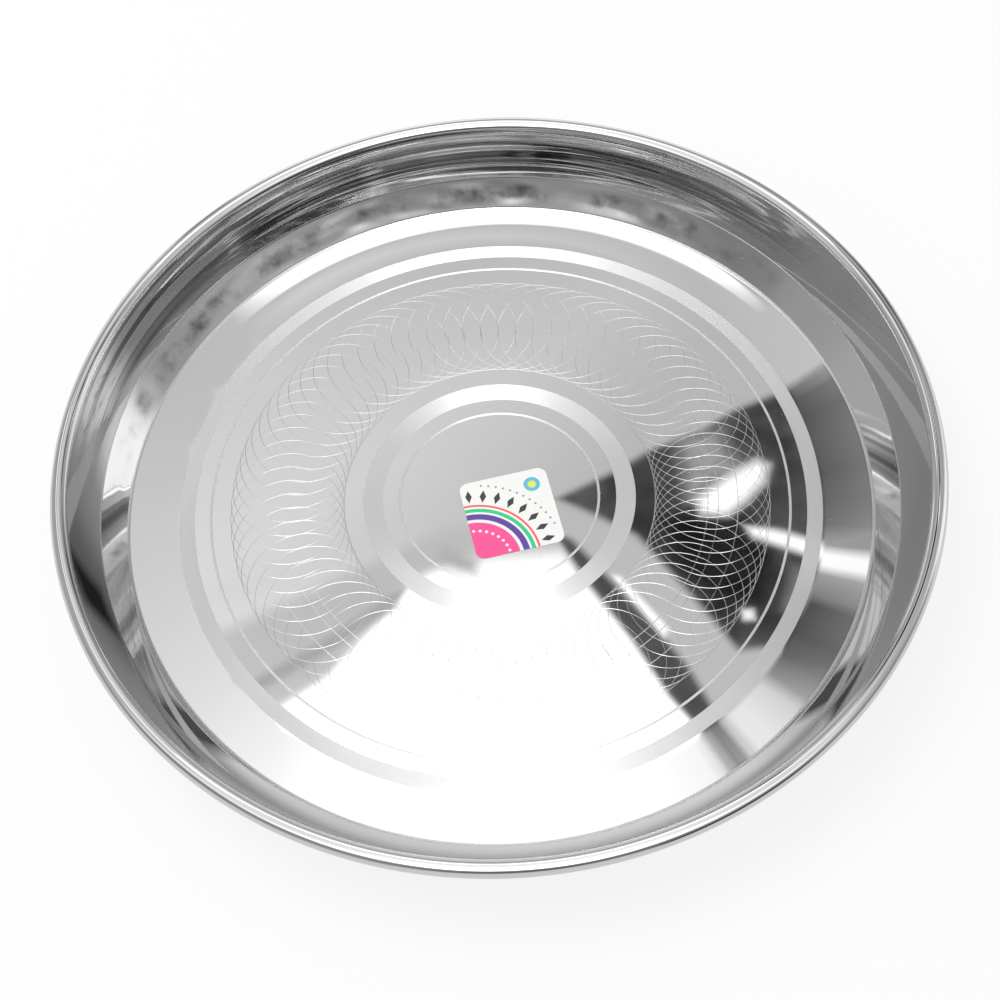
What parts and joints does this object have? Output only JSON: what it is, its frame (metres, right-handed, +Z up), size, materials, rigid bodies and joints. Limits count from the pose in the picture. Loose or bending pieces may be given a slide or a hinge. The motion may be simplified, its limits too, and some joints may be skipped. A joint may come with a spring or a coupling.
{
  "type": "thali plate",
  "caption": "Round stainless steel dining plate with a flat floor, a raised wall, a curled rim, satin rings and a plain square label.",
  "frame": {"origin": "middle of the flat underside, on the surface that the plate rests on", "axes": "+Z up along the plate's own axis, +X to the right and -Y towards the viewer of the picture"},
  "size_m": [0.3, 0.3, 0.0324],
  "materials": {
    "stainless_steel": "mirror polished stainless steel with satin rings and fine engraved circles on the floor",
    "label_adhesive": "clear adhesive layer",
    "label_face": "glossy printed label, white with a pink border"
  },
  "bodies": {
    "root": {"plate_pressing": "stainless_steel", "label_adhesive": "label_adhesive", "label_face": "label_face"}
  },
  "joints": []
}
